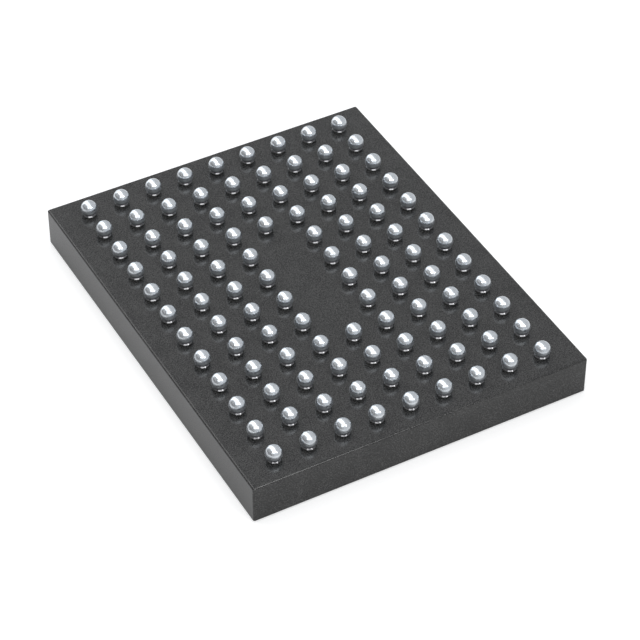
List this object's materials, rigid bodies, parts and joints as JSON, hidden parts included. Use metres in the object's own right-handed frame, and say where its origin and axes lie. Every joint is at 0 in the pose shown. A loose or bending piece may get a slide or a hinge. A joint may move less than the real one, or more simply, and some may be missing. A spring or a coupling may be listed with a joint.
{
  "type": "microcontroller package",
  "caption": "Moulded chip-scale microcontroller package lying ball side up, with a grid of solder balls that leaves a bare strip in its middle.",
  "frame": {"origin": "centre of the flat marking face, which the package rests on", "axes": "+X along a row of balls, +Y along the long side towards row a, +Z out of the ball side"},
  "size_m": [0.004, 0.005, 0.0006],
  "materials": {
    "mould": "satin",
    "film": "satin",
    "silicon": "polished",
    "passivation": "gloss",
    "trace_copper": "satin",
    "pad_metal": "satin",
    "solder": "polished"
  },
  "bodies": {
    "root": {"mould_compound": "mould", "silicon_die": "silicon", "die_passivation": "passivation", "redistribution_traces_row_a": "trace_copper", "redistribution_traces_row_b": "trace_copper", "redistribution_traces_row_c": "trace_copper", "redistribution_traces_row_d": "trace_copper", "redistribution_traces_row_e": "trace_copper", "redistribution_traces_row_f": "trace_copper", "redistribution_traces_row_g": "trace_copper", "redistribution_traces_row_h": "trace_copper", "redistribution_traces_row_j": "trace_copper", "redistribution_traces_row_k": "trace_copper", "redistribution_traces_row_l": "trace_copper", "redistribution_traces_row_m": "trace_copper", "ball_side_film": "film", "under_bump_pads_row_a": "pad_metal", "under_bump_pads_row_b": "pad_metal", "under_bump_pads_row_c": "pad_metal", "under_bump_pads_row_d": "pad_metal", "under_bump_pads_row_e": "pad_metal", "under_bump_pads_row_f": "pad_metal", "under_bump_pads_row_g": "pad_metal", "under_bump_pads_row_h": "pad_metal", "under_bump_pads_row_j": "pad_metal", "under_bump_pads_row_k": "pad_metal", "under_bump_pads_row_l": "pad_metal", "under_bump_pads_row_m": "pad_metal", "solder_balls_row_a": "solder", "solder_balls_row_b": "solder", "solder_balls_row_c": "solder", "solder_balls_row_d": "solder", "solder_balls_row_e": "solder", "solder_balls_row_f": "solder", "solder_balls_row_g": "solder", "solder_balls_row_h": "solder", "solder_balls_row_j": "solder", "solder_balls_row_k": "solder", "solder_balls_row_l": "solder", "solder_balls_row_m": "solder"}
  },
  "joints": []
}
